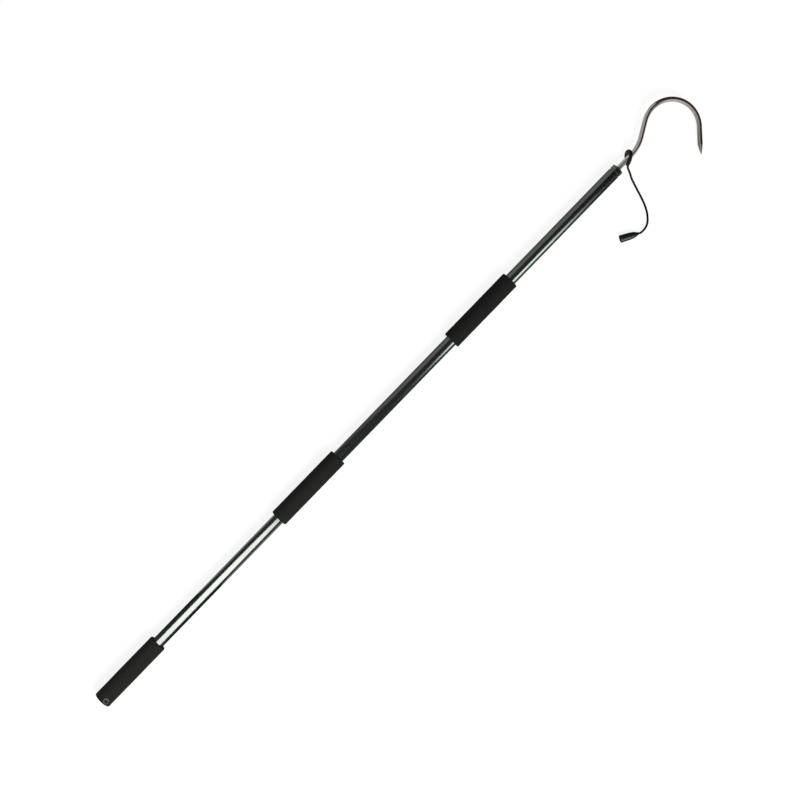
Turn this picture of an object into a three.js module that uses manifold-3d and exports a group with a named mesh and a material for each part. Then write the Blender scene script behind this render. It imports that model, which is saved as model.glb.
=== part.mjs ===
// Fishing gaff: a one-piece aluminium pole with three foam grips, and a bent stainless hook whose
// point is covered, when it is stowed, by a soft cap on a cord that swivels on the hook's shank.
//
// Millimetres. The pole lies along +X with the hook in front. The origin is the middle of the butt's
// end face, and +Z is up from the ground that the gaff lies on. The hook's point leans to -Y and
// rests on that ground, so the hook is rolled a little about the pole.

import * as THREE from "three";
import { mergeVertices } from "three/addons/utils/BufferGeometryUtils.js";
import Module from "manifold-3d";

const wasm = await Module();
wasm.setup();

// Pole
const POLE_LENGTH = 1140;
const POLE_DIAMETER = 19;
const POLE_WALL = 1.4;
const POLE_END_BREAK = 0.3;

// Foam grips, and the bare tube between them
const GRIP_DIAMETER = 28.5;
const GRIP_EDGE_RADIUS = 1.6;
const GRIP_BORE_BREAK = 0.6;
const BUTT_GRIP_LENGTH = 123.5;
const LOWER_BARE_RUN = 266.5;
const MIDDLE_GRIP_LENGTH = 131;
const UPPER_BARE_RUN = 250;
const UPPER_GRIP_LENGTH = 130;

// Clearances
const SEAT_GAP = 0.3;
const CUT_OVERRUN = 1;

// Head plug: a collar as wide as the tube, and a spigot inside it
const COLLAR_LENGTH = 10;
const COLLAR_EDGE_RADIUS = 1.4;
const COLLAR_CROWN = 0.6;
const COLLAR_GROOVE_WIDTH = 1.4;
const COLLAR_GROOVE_DEPTH = 0.9;
const HEAD_SPIGOT_LENGTH = 62;
const SPIGOT_LEAD = 1;

// Hook: the wire's centre line is straight, bends away from the point, runs on, turns round the
// crown and comes back as the point leg
const WIRE_DIAMETER = 8;
const SHANK_ANCHOR = 54;
const SHANK_REACH = 27;
const OFFSET_BEND_RADIUS = 62;
const OFFSET_BEND_DEGREES = 31;
const OFFSET_RUN = 24.5;
const CROWN_INSIDE_RADIUS = 39.7;
const CROWN_DEGREES = 162.5;
const POINT_LEG = 26.7;
const POINT_GRIND = 16;
const POINT_TIP_DIAMETER = 0.7;
const POINT_TIP_SHIFT = 1.3;
const POINT_GRIND_POWER = 1.35;

// Pin through the head plug and the hook's shank, hidden by the tube
const SHANK_PIN_DIAMETER = 3;
const SHANK_PIN_SETBACK = 36;

// Butt plug and the rivet that holds it
const BUTT_FLANGE = 2.5;
const BUTT_SPIGOT_LENGTH = 26;
const BUTT_FACE_BREAK = 0.5;
const RIVET_FROM_BUTT = 6.4;
const RIVET_TURN_DEGREES = 22;
const RIVET_HEAD_DIAMETER = 10.5;
const RIVET_HEAD_HEIGHT = 1.7;
const RIVET_RIM_HEIGHT = 0.6;
const RIVET_BODY_DIAMETER = 4.8;
const RIVET_DISH_DIAMETER = 5.4;
const RIVET_DISH_DEPTH = 1.4;
const RIVET_BORE_DIAMETER = 3.4;
const RIVET_BORE_DEPTH = 5;
const RIVET_SEAT_DEPTH = 0.9;
const RIVET_TIP_RADIUS = 2.5;

// Guard's eye: a moulded ring that the shank passes through at a slant. It is egg-shaped, and widest
// behind the bore. Its tail points back and to the point's side of the pole, dips to the ground, and
// the ring leans over about its tail. The reaches are from the middle of the bore.
const EYE_FROM_COLLAR = 22;
const EYE_BACK_REACH = 13.2;
const EYE_WIDEST_REACH = 6;
const EYE_TAIL_REACH = 11.2;
const EYE_WIDTH = 18.8;
const EYE_THICKNESS = 4.8;
const EYE_EDGE_RADIUS = 1.3;
const EYE_CLEARANCE = 0.7;
const EYE_STUB_LENGTH = 1.6;
const EYE_STUB_OVERLAP = 2;
const EYE_YAW_DEGREES = 42;
const EYE_DIP_DEGREES = 8;
const EYE_LEAN_DEGREES = 23;
const EYE_FLANK_SHARES = { nearTail: 0.14, nearRing: 0.66 };

// Guard's cord
const CORD_DIAMETER = 3.3;
const CORD_SIDES = 8;
const CORD_STEP = 6.6;
const CORD_LEAD = 1.5;

// Guard's cap, lying on its side
const CAP_MOUTH_DIAMETER = 12;
const CAP_BELLY_DIAMETER = 11.6;
const CAP_BELLY_FROM_MOUTH = 10.5;
const CAP_SHOULDER_DIAMETER = 9.2;
const CAP_BODY_LENGTH = 24;
const CAP_NECK_LENGTH = 7.5;
const CAP_NECK_CROWN = 0.5;
const CAP_LIP_RADIUS = 0.7;
const CAP_BORE_DIAMETER = 9;
const CAP_BORE_END_DIAMETER = 6.6;
const CAP_BORE_DEPTH = 17;
const CAP_NECK_BACK = 47.3;
const CAP_NECK_SIDE = 93;
const CAP_YAW_DEGREES = 28.5;

// The cord's free stretch between the eye's tail and the cap's neck, from the collar's face:
// forward, to the left, and up from the pole's axis
const CORD_ROUTE = [
  [9.7, -13.6, -3.4],
  [8.2, -18.2, -5.6],
  [4.8, -26.0, -9.4],
  [2.2, -34.7, -12.0],
  [-0.6, -43.4, -12.6],
  [-3.5, -52.2, -12.6],
  [-6.5, -60.8, -12.6],
  [-10.0, -69.3, -12.6],
  [-14.3, -77.4, -12.6],
  [-19.9, -84.7, -12.4],
  [-26.8, -90.9, -11.7],
  [-35.5, -94.1, -10.4],
];

// Roundness of turned and bent pieces
const TURN_STEPS = 48;
const WIRE_SIDES = 24;
const SMALL_TURN_STEPS = 24;
const BEND_STEP_DEGREES = 4;
const GRIND_STEPS = 6;
const EDGE_STEPS = 3;
const OUTLINE_STEPS = 10;

// Sizes that follow from the ones above
const poleRadius = POLE_DIAMETER / 2;
const boreRadius = poleRadius - POLE_WALL;
const spigotRadius = boreRadius - SEAT_GAP;
const gripRadius = GRIP_DIAMETER / 2;
const wireRadius = WIRE_DIAMETER / 2;
const crownRadius = CROWN_INSIDE_RADIUS + wireRadius;
const collarBack = POLE_LENGTH - COLLAR_LENGTH;
const tubeStart = BUTT_FLANGE + SEAT_GAP;
const tubeEnd = collarBack - SEAT_GAP;
const middleGripStart = BUTT_GRIP_LENGTH + LOWER_BARE_RUN;
const upperGripStart = middleGripStart + MIDDLE_GRIP_LENGTH + UPPER_BARE_RUN;
const groundZ = -gripRadius;
const radians = THREE.MathUtils.degToRad;

const foam = { color: 0x1d1d1f, roughness: 0.95, metalness: 0 };
const anodised = { color: 0x2c2f2e, roughness: 0.28, metalness: 1 };
const plugPlastic = { color: 0x161a18, roughness: 0.35, metalness: 0 };
const stainless = { color: 0x9a8f8d, roughness: 0.25, metalness: 1 };
const rivetMetal = { color: 0x77777a, roughness: 0.4, metalness: 1 };
const softVinyl = { color: 0x121214, roughness: 0.4, metalness: 0 };

// Booleans

const MERGE_DISTANCE = 1e-4;

function solidOf(geometry) {
  const bare = geometry.clone();
  bare.deleteAttribute("normal");
  bare.deleteAttribute("uv");
  const merged = mergeVertices(bare, MERGE_DISTANCE);
  const corners = merged.index.array;
  const triVerts = [];
  for (let i = 0; i < corners.length; i += 3) {
    const [a, b, c] = corners.slice(i, i + 3);
    if (a !== b && b !== c && c !== a) {
      triVerts.push(a, b, c);
    }
  }
  const mesh = new wasm.Mesh({
    numProp: 3,
    vertProperties: Float32Array.from(merged.attributes.position.array),
    triVerts: Uint32Array.from(triVerts),
  });
  return new wasm.Manifold(mesh);
}

function geometryOf(solid) {
  const mesh = solid.getMesh();
  const geometry = new THREE.BufferGeometry();
  geometry.setAttribute("position", new THREE.BufferAttribute(mesh.vertProperties, 3));
  geometry.setIndex(new THREE.BufferAttribute(mesh.triVerts, 1));
  geometry.computeVertexNormals();
  return geometry;
}

// Shapes

// A solid of revolution about +X. The profile is a list of [radius, place along X], drawn forwards
// along the outside and back along the bore.
function turned(profile, steps = TURN_STEPS) {
  const points = profile.map(([radius, along]) => new THREE.Vector2(radius, along));
  const geometry = new THREE.LatheGeometry(points, steps);
  geometry.rotateZ(-Math.PI / 2);
  return geometry;
}

// Quarter of a circle from one profile direction to the next: a rounded edge
function roundedEdge(centreRadius, centreAlong, edge, fromDegrees, toDegrees) {
  const points = [];
  for (let i = 0; i <= EDGE_STEPS; i += 1) {
    const angle = radians(fromDegrees + ((toDegrees - fromDegrees) * i) / EDGE_STEPS);
    points.push([centreRadius + edge * Math.cos(angle), centreAlong + edge * Math.sin(angle)]);
  }
  return points;
}

// A plain round bar along a direction, used for pins and for the holes that take them
function bar(radius, start, end) {
  const along = new THREE.Vector3().subVectors(end, start);
  const geometry = new THREE.CylinderGeometry(radius, radius, along.length(), SMALL_TURN_STEPS);
  const turn = new THREE.Quaternion().setFromUnitVectors(new THREE.Vector3(0, 1, 0), along.normalize());
  geometry.applyQuaternion(turn);
  const middle = new THREE.Vector3().addVectors(start, end).multiplyScalar(1 / 2);
  geometry.translate(middle.x, middle.y, middle.z);
  return geometry;
}

// A round rod through a list of stations, each a centre, two directions across the rod and a radius
function sweptRod(stations, sides) {
  const positions = [];
  const index = [];
  for (const { centre, across, up, radius } of stations) {
    for (let j = 0; j < sides; j += 1) {
      const angle = (2 * Math.PI * j) / sides;
      const point = centre.clone();
      point.addScaledVector(across, radius * Math.cos(angle));
      point.addScaledVector(up, radius * Math.sin(angle));
      positions.push(point.x, point.y, point.z);
    }
  }
  for (let i = 0; i + 1 < stations.length; i += 1) {
    for (let j = 0; j < sides; j += 1) {
      const a = i * sides + j;
      const b = i * sides + ((j + 1) % sides);
      index.push(a, b, b + sides, a, b + sides, a + sides);
    }
  }
  const first = stations[0].centre;
  const last = stations[stations.length - 1].centre;
  const firstHub = stations.length * sides;
  const lastHub = firstHub + 1;
  positions.push(first.x, first.y, first.z, last.x, last.y, last.z);
  const lastRing = (stations.length - 1) * sides;
  for (let j = 0; j < sides; j += 1) {
    const next = (j + 1) % sides;
    index.push(firstHub, next, j);
    index.push(lastHub, lastRing + j, lastRing + next);
  }
  const geometry = new THREE.BufferGeometry();
  geometry.setAttribute("position", new THREE.Float32BufferAttribute(positions, 3));
  geometry.setIndex(index);
  return geometry;
}

function piece(name, geometry, finish) {
  const mesh = new THREE.Mesh(geometry, new THREE.MeshStandardMaterial(finish));
  mesh.name = name;
  return mesh;
}

// Rivet axis: a radial line near the butt, turned from straight up towards the point's side

const rivetTurn = radians(RIVET_TURN_DEGREES);
const rivetUp = new THREE.Vector3(0, -Math.sin(rivetTurn), Math.cos(rivetTurn));
const rivetSeatRadius = gripRadius - RIVET_SEAT_DEPTH;

function onRivetAxis(radius) {
  return new THREE.Vector3(RIVET_FROM_BUTT, 0, 0).addScaledVector(rivetUp, radius);
}

function rivetHole(innerRadius) {
  const holeRadius = RIVET_BODY_DIAMETER / 2 + SEAT_GAP;
  return solidOf(bar(holeRadius, onRivetAxis(innerRadius), onRivetAxis(gripRadius + CUT_OVERRUN)));
}

// Pole tube, open at both ends, with the rivet's hole near the butt
function poleTube() {
  const tube = turned([
    [poleRadius - POLE_END_BREAK, tubeStart],
    [poleRadius, tubeStart + POLE_END_BREAK],
    [poleRadius, tubeEnd - POLE_END_BREAK],
    [poleRadius - POLE_END_BREAK, tubeEnd],
    [boreRadius, tubeEnd],
    [boreRadius, tubeStart],
    [poleRadius - POLE_END_BREAK, tubeStart],
  ]);
  return geometryOf(solidOf(tube).subtract(rivetHole(POLE_WALL)));
}

// Foam sleeve with rounded ends, pushed over the tube
function gripSleeve(start, length) {
  const inner = poleRadius + SEAT_GAP;
  const end = start + length;
  const centreRadius = gripRadius - GRIP_EDGE_RADIUS;
  return turned([
    [inner + GRIP_BORE_BREAK, start],
    ...roundedEdge(centreRadius, start + GRIP_EDGE_RADIUS, GRIP_EDGE_RADIUS, -90, 0),
    ...roundedEdge(centreRadius, end - GRIP_EDGE_RADIUS, GRIP_EDGE_RADIUS, 0, 90),
    [inner + GRIP_BORE_BREAK, end],
    [inner, end - GRIP_BORE_BREAK],
    [inner, start + GRIP_BORE_BREAK],
    [inner + GRIP_BORE_BREAK, start],
  ]);
}

// The butt's sleeve also has the rivet's hole and a flat seat under the rivet's head
function buttSleeve() {
  const seatRadius = RIVET_HEAD_DIAMETER / 2 + SEAT_GAP;
  const seatFloor = onRivetAxis(rivetSeatRadius - SEAT_GAP);
  const seat = solidOf(bar(seatRadius, seatFloor, onRivetAxis(gripRadius + CUT_OVERRUN)));
  const sleeve = solidOf(gripSleeve(0, BUTT_GRIP_LENGTH));
  return geometryOf(sleeve.subtract(rivetHole(POLE_WALL)).subtract(seat));
}

// Butt plug: a flange that closes the tube's end and a spigot inside it, drilled for the rivet
function buttPlug() {
  const plug = turned([
    [0, 0],
    [poleRadius - BUTT_FACE_BREAK, 0],
    [poleRadius, BUTT_FACE_BREAK],
    [poleRadius, BUTT_FLANGE],
    [spigotRadius, BUTT_FLANGE],
    [spigotRadius, BUTT_FLANGE + BUTT_SPIGOT_LENGTH - SPIGOT_LEAD],
    [spigotRadius - SPIGOT_LEAD, BUTT_FLANGE + BUTT_SPIGOT_LENGTH],
    [0, BUTT_FLANGE + BUTT_SPIGOT_LENGTH],
  ]);
  const holeFloor = RIVET_TIP_RADIUS - SEAT_GAP;
  return geometryOf(solidOf(plug).subtract(rivetHole(holeFloor)));
}

// Blind rivet with a domed and dished head and the hollow that its mandrel leaves
function buttRivet() {
  const bodyRadius = RIVET_BODY_DIAMETER / 2;
  const headRadius = RIVET_HEAD_DIAMETER / 2;
  const dishRadius = RIVET_DISH_DIAMETER / 2;
  const hollowRadius = RIVET_BORE_DIAMETER / 2;
  const top = rivetSeatRadius + RIVET_HEAD_HEIGHT;
  const profile = [
    [0, RIVET_TIP_RADIUS],
    [bodyRadius, RIVET_TIP_RADIUS],
    [bodyRadius, rivetSeatRadius],
    [headRadius, rivetSeatRadius],
    [headRadius, rivetSeatRadius + RIVET_RIM_HEIGHT],
  ];
  const domeStart = RIVET_RIM_HEIGHT;
  for (let i = 1; i <= EDGE_STEPS; i += 1) {
    const angle = (Math.PI * i) / (2 * EDGE_STEPS);
    const radius = dishRadius + (headRadius - dishRadius) * Math.cos(angle);
    const height = domeStart + (RIVET_HEAD_HEIGHT - RIVET_RIM_HEIGHT) * Math.sin(angle);
    profile.push([radius, rivetSeatRadius + height]);
  }
  profile.push([hollowRadius, top - RIVET_DISH_DEPTH]);
  profile.push([hollowRadius, top - RIVET_BORE_DEPTH], [0, top - RIVET_BORE_DEPTH]);
  const geometry = turned(profile, SMALL_TURN_STEPS);
  const turn = new THREE.Quaternion().setFromUnitVectors(new THREE.Vector3(1, 0, 0), rivetUp);
  geometry.applyQuaternion(turn);
  geometry.translate(RIVET_FROM_BUTT, 0, 0);
  return geometry;
}

// Head plug: spigot, grooved shoulder, and a collar with a rounded and slightly crowned front
function headPlug() {
  const plugBack = collarBack - HEAD_SPIGOT_LENGTH;
  const shankRadius = wireRadius + SEAT_GAP;
  const grooveRadius = poleRadius - COLLAR_GROOVE_DEPTH;
  const edgeCentre = POLE_LENGTH - COLLAR_CROWN - COLLAR_EDGE_RADIUS;
  const shankFloor = collarBack - SHANK_ANCHOR - SEAT_GAP;
  const plug = turned([
    [0, plugBack],
    [spigotRadius - SPIGOT_LEAD, plugBack],
    [spigotRadius, plugBack + SPIGOT_LEAD],
    [spigotRadius, collarBack],
    [grooveRadius, collarBack],
    [grooveRadius, collarBack + COLLAR_GROOVE_WIDTH],
    [poleRadius - POLE_END_BREAK, collarBack + COLLAR_GROOVE_WIDTH],
    [poleRadius, collarBack + COLLAR_GROOVE_WIDTH + POLE_END_BREAK],
    ...roundedEdge(poleRadius - COLLAR_EDGE_RADIUS, edgeCentre, COLLAR_EDGE_RADIUS, 0, 90),
    [shankRadius, POLE_LENGTH],
    [shankRadius, shankFloor],
    [0, shankFloor],
  ]);
  const pinHole = bar(SHANK_PIN_DIAMETER / 2 + SEAT_GAP, onPinAxis(-poleRadius), onPinAxis(poleRadius));
  return geometryOf(solidOf(plug).subtract(solidOf(pinHole)));
}

// Pin through the plug and the shank, square to the hook's plane
function onPinAxis(height) {
  return new THREE.Vector3(collarBack - SHANK_PIN_SETBACK, 0, height);
}

function shankPin() {
  return bar(SHANK_PIN_DIAMETER / 2, onPinAxis(-spigotRadius), onPinAxis(spigotRadius));
}

// The hook's centre line, walked from the anchored end to the tip. Its runs are straights and arcs;
// a positive turn is towards the point's side.
function hookStations() {
  const runs = [
    { length: SHANK_ANCHOR + COLLAR_LENGTH + SHANK_REACH, turn: 0 },
    { length: OFFSET_BEND_RADIUS * radians(OFFSET_BEND_DEGREES), turn: -OFFSET_BEND_DEGREES },
    { length: OFFSET_RUN, turn: 0 },
    { length: crownRadius * radians(CROWN_DEGREES), turn: CROWN_DEGREES },
    { length: POINT_LEG, turn: 0 },
  ];
  const up = new THREE.Vector3(0, 0, 1);
  const centre = new THREE.Vector3(collarBack - SHANK_ANCHOR, 0, 0);
  let heading = 0;
  const stations = [];
  const forward = (angle) => new THREE.Vector3(Math.cos(angle), -Math.sin(angle), 0);
  const leftOf = (angle) => new THREE.Vector3(Math.sin(angle), Math.cos(angle), 0);
  const add = (radius, shift) => {
    const across = leftOf(heading);
    const place = centre.clone().addScaledVector(across, shift);
    stations.push({ centre: place, across, up, radius });
  };
  add(wireRadius, 0);
  for (const { length, turn } of runs) {
    const steps = Math.max(1, Math.round(Math.abs(turn) / BEND_STEP_DEGREES));
    for (let i = 0; i < steps; i += 1) {
      const half = radians(turn) / steps / 2;
      const chord = half === 0 ? length / steps : (length / steps) * (Math.sin(half) / half);
      centre.addScaledVector(forward(heading + half), chord);
      heading += 2 * half;
      add(wireRadius, 0);
    }
  }
  const tipRadius = POINT_TIP_DIAMETER / 2;
  for (let i = 1; i <= GRIND_STEPS; i += 1) {
    const share = i / GRIND_STEPS;
    centre.addScaledVector(forward(heading), POINT_GRIND / GRIND_STEPS);
    const taper = 1 - share ** POINT_GRIND_POWER;
    add(tipRadius + (wireRadius - tipRadius) * taper, POINT_TIP_SHIFT * share ** 2);
  }
  return stations;
}

// Roll that lets the foot of the ground point touch the ground when the grips lie on it
function restRoll(stations) {
  const foot = stations[stations.length - 1 - GRIND_STEPS];
  const reach = -foot.centre.y;
  return Math.asin((gripRadius - wireRadius) / reach);
}

function hook(stations) {
  const rod = solidOf(sweptRod(stations, WIRE_SIDES));
  const overrun = wireRadius + CUT_OVERRUN;
  const pinHole = bar(SHANK_PIN_DIAMETER / 2 + SEAT_GAP, onPinAxis(-overrun), onPinAxis(overrun));
  return geometryOf(rod.subtract(solidOf(pinHole)));
}

// Directions of the guard's eye: along its tail, across the ring, and square to the ring
function eyeAxes() {
  const yaw = radians(EYE_YAW_DEGREES);
  const dip = radians(EYE_DIP_DEGREES);
  const lean = radians(EYE_LEAN_DEGREES);
  const level = new THREE.Vector3(-Math.cos(yaw), -Math.sin(yaw), 0);
  const side = new THREE.Vector3(-Math.sin(yaw), Math.cos(yaw), 0);
  const down = new THREE.Vector3(0, 0, -1);
  const tail = level.clone().multiplyScalar(Math.cos(dip)).addScaledVector(down, Math.sin(dip));
  const under = down.clone().multiplyScalar(Math.cos(dip)).addScaledVector(level, -Math.sin(dip));
  const across = under.clone().multiplyScalar(Math.cos(lean)).addScaledVector(side, Math.sin(lean));
  const square = new THREE.Vector3().crossVectors(tail, across);
  return { tail, across, square };
}

const eyeHalfWidth = EYE_WIDTH / 2;
const eyeStubEnd = EYE_TAIL_REACH + EYE_STUB_LENGTH;
const eyeCentre = new THREE.Vector3(POLE_LENGTH + EYE_FROM_COLLAR, 0, 0);

// Ring with a tail: a round back whose flanks sweep in to a blunt end, rounded all over, and a short
// round stub that carries the cord. The hole is bored along the shank, at a slant to the ring.
function guardEye() {
  const neck = EYE_THICKNESS / 2;
  const backRadius = EYE_BACK_REACH - EYE_WIDEST_REACH;
  const flank = EYE_TAIL_REACH + EYE_WIDEST_REACH;
  const nearTail = EYE_TAIL_REACH - flank * EYE_FLANK_SHARES.nearTail;
  const nearRing = flank * EYE_FLANK_SHARES.nearRing - EYE_WIDEST_REACH;
  const widest = -EYE_WIDEST_REACH;
  const quarter = Math.PI / 2;
  const outline = new THREE.Shape();
  outline.moveTo(EYE_TAIL_REACH, neck);
  outline.bezierCurveTo(nearTail, neck, nearRing, eyeHalfWidth, widest, eyeHalfWidth);
  outline.absellipse(widest, 0, backRadius, eyeHalfWidth, quarter, 3 * quarter, false, 0);
  outline.bezierCurveTo(nearRing, -eyeHalfWidth, nearTail, -neck, EYE_TAIL_REACH, -neck);
  outline.closePath();
  const ring = new THREE.ExtrudeGeometry(outline, {
    depth: EYE_THICKNESS - 2 * EYE_EDGE_RADIUS,
    bevelThickness: EYE_EDGE_RADIUS,
    bevelSize: EYE_EDGE_RADIUS,
    bevelOffset: -EYE_EDGE_RADIUS,
    bevelSegments: EDGE_STEPS,
    curveSegments: OUTLINE_STEPS,
  });
  ring.translate(0, 0, -EYE_THICKNESS / 2 + EYE_EDGE_RADIUS);
  const stubRadius = neck - EYE_EDGE_RADIUS / 2;
  const stub = turned(
    [
      [0, EYE_TAIL_REACH - EYE_STUB_OVERLAP],
      [stubRadius, EYE_TAIL_REACH - EYE_STUB_OVERLAP],
      [CORD_DIAMETER / 2, eyeStubEnd],
      [0, eyeStubEnd],
    ],
    SMALL_TURN_STEPS,
  );
  const { tail, across, square } = eyeAxes();
  const place = new THREE.Matrix4().makeBasis(tail, across, square).setPosition(eyeCentre);
  ring.applyMatrix4(place);
  stub.applyMatrix4(place);
  const boreEnds = [-EYE_WIDTH, EYE_WIDTH].map((x) => new THREE.Vector3(x, 0, 0).add(eyeCentre));
  const bore = bar(wireRadius + EYE_CLEARANCE, ...boreEnds);
  return geometryOf(solidOf(ring).add(solidOf(stub)).subtract(solidOf(bore)));
}

// The cap's axis runs from its neck to its mouth. It lies on the ground from its mouth to its belly.
const capTilt = Math.atan2((CAP_MOUTH_DIAMETER - CAP_BELLY_DIAMETER) / 2, CAP_BELLY_FROM_MOUTH);
const capLength = CAP_BODY_LENGTH + CAP_NECK_LENGTH;
const capYaw = radians(CAP_YAW_DEGREES);
const capAxis = new THREE.Vector3(
  -Math.cos(capYaw) * Math.cos(capTilt),
  Math.sin(capYaw) * Math.cos(capTilt),
  Math.sin(capTilt),
);
const capMouthZ = groundZ + (CAP_MOUTH_DIAMETER / 2) * Math.cos(capTilt);
const capNeck = new THREE.Vector3(
  POLE_LENGTH - CAP_NECK_BACK,
  -CAP_NECK_SIDE,
  capMouthZ - capLength * Math.sin(capTilt),
);

// Soft cap: a sleeve, open at the mouth, that narrows behind its belly and closes to a neck as wide
// as the cord
function tipCap() {
  const mouth = CAP_MOUTH_DIAMETER / 2;
  const shoulder = CAP_SHOULDER_DIAMETER / 2;
  const neck = CORD_DIAMETER / 2;
  const boreMouth = CAP_BORE_DIAMETER / 2;
  const boreEnd = CAP_BORE_END_DIAMETER / 2;
  const boreFloor = capLength - CAP_BORE_DEPTH;
  const middle = CAP_NECK_LENGTH / 2;
  return turned(
    [
      [0, 0],
      [neck, 0],
      [(neck + shoulder) / 2 - CAP_NECK_CROWN, middle],
      [shoulder - CAP_NECK_CROWN, CAP_NECK_LENGTH - CAP_NECK_CROWN],
      [shoulder, CAP_NECK_LENGTH + CAP_NECK_CROWN],
      [CAP_BELLY_DIAMETER / 2, capLength - CAP_BELLY_FROM_MOUTH],
      [mouth, capLength - CAP_LIP_RADIUS],
      [mouth - CAP_LIP_RADIUS, capLength],
      [boreMouth + CAP_LIP_RADIUS, capLength],
      [boreMouth, capLength - CAP_LIP_RADIUS],
      [boreEnd, boreFloor + boreEnd],
      [boreEnd / 2, boreFloor],
      [0, boreFloor],
    ],
    SMALL_TURN_STEPS,
  );
}

// Cord from the eye's stub to the cap's neck, which it leaves and meets squarely
function guardCord() {
  const { tail } = eyeAxes();
  const start = eyeCentre.clone().addScaledVector(tail, eyeStubEnd + SEAT_GAP);
  const end = capNeck.clone().addScaledVector(capAxis, -SEAT_GAP);
  const lead = start.clone().addScaledVector(tail, CORD_LEAD);
  const leadIn = end.clone().addScaledVector(capAxis, -CORD_LEAD);
  const route = CORD_ROUTE.map(([x, y, z]) => new THREE.Vector3(POLE_LENGTH + x, y, z));
  const points = [start, lead, ...route, leadIn, end];
  const path = new THREE.CatmullRomCurve3(points, false, "centripetal");
  const section = new THREE.Shape();
  for (let i = 0; i <= CORD_SIDES; i += 1) {
    const angle = (2 * Math.PI * i) / CORD_SIDES;
    const x = (CORD_DIAMETER / 2) * Math.cos(angle);
    const y = (CORD_DIAMETER / 2) * Math.sin(angle);
    if (i === 0) {
      section.moveTo(x, y);
    } else {
      section.lineTo(x, y);
    }
  }
  const steps = Math.round(path.getLength() / CORD_STEP);
  return new THREE.ExtrudeGeometry(section, { steps, bevelEnabled: false, extrudePath: path });
}

// Assembly

const gaff = new THREE.Group();

gaff.add(piece("pole_tube", poleTube(), anodised));
gaff.add(piece("grip_butt", buttSleeve(), foam));
gaff.add(piece("grip_middle", gripSleeve(middleGripStart, MIDDLE_GRIP_LENGTH), foam));
gaff.add(piece("grip_upper", gripSleeve(upperGripStart, UPPER_GRIP_LENGTH), foam));
gaff.add(piece("butt_plug", buttPlug(), plugPlastic));
gaff.add(piece("butt_rivet", buttRivet(), rivetMetal));

const stations = hookStations();
const head = new THREE.Group();
head.rotation.x = restRoll(stations);
head.add(piece("head_plug", headPlug(), plugPlastic));
head.add(piece("shank_pin", shankPin(), stainless));
head.add(piece("hook", hook(stations), stainless));
gaff.add(head);

const guard = new THREE.Group();
guard.add(piece("guard_eye", guardEye(), softVinyl));
guard.add(piece("guard_cord", guardCord(), softVinyl));
const cap = piece("tip_cap", tipCap(), softVinyl);
cap.quaternion.setFromUnitVectors(new THREE.Vector3(1, 0, 0), capAxis);
cap.position.copy(capNeck);
guard.add(cap);
gaff.add(guard);

export default gaff;
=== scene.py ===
import math

import bpy
import numpy as np
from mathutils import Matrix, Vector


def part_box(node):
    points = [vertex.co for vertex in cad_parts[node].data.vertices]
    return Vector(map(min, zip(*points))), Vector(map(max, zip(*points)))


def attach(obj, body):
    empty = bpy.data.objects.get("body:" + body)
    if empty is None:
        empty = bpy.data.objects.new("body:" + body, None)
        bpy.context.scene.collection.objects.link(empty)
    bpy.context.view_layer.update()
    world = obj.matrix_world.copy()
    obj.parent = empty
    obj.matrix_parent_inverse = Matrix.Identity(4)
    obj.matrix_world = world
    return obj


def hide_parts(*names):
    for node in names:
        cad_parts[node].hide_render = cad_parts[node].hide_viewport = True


# Fishing gaff on a white floor, seen from straight above. Metres, in the part's own frame: the
# pole lies along +X, the origin is the middle of the butt's end face, and +Z is up.

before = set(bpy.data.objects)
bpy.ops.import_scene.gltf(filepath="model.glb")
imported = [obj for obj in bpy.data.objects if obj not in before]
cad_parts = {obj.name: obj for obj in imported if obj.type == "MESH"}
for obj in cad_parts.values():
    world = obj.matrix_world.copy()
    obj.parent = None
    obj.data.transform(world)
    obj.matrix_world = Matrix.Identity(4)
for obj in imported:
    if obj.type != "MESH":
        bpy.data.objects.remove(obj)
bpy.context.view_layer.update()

MM = 0.001

# Sizes read from the frame
tube_low, tube_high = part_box("pole_tube")
butt_grip_low, butt_grip_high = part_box("grip_butt")
middle_grip_low, middle_grip_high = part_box("grip_middle")
upper_grip_low, upper_grip_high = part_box("grip_upper")
head_low, head_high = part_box("head_plug")
closure_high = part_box("butt_plug")[1]

POLE_RADIUS = (tube_high.y - tube_low.y) / 2
GRIP_RADIUS = (middle_grip_high.y - middle_grip_low.y) / 2
POLE_LENGTH = head_high.x
FLOOR_Z = -GRIP_RADIUS

# Sizes that the frame's boxes don't show
TUBE_WALL = 1.4 * MM
SEAT_GAP = 0.3 * MM
END_BREAK = 0.3 * MM

GRIP_EDGE_RADIUS = 1.6 * MM
GRIP_BORE_BREAK = 0.6 * MM
FOAM_UNEVENNESS = 0.16 * MM
FOAM_WAVES = 26
FOAM_WAVE_RATE = 420
FOAM_LONG_RATE = 160
FOAM_ROUND_WAVES = 7
FOAM_FEW_ROUND = 3
FOAM_WAVE_SUM = 5

BUTT_FLANGE = 2.5 * MM
BUTT_FACE_BREAK = 0.5 * MM
SPIGOT_LEAD = 1.0 * MM

RIVET_FROM_BUTT = 6.4 * MM
RIVET_TURN = math.radians(22)
RIVET_HEAD_RADIUS = 5.25 * MM
RIVET_HEAD_HEIGHT = 1.7 * MM
RIVET_RIM_HEIGHT = 0.6 * MM
RIVET_BODY_RADIUS = 2.4 * MM
RIVET_DISH_RADIUS = 2.7 * MM
RIVET_DISH_DEPTH = 1.2 * MM
RIVET_BORE_RADIUS = 1.9 * MM
RIVET_BORE_DEPTH = 5.0 * MM
RIVET_SEAT_DEPTH = 0.9 * MM
RIVET_TIP_PLACE = 2.5 * MM
RIVET_DIMPLE_REACH = 2.2 * MM

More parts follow.
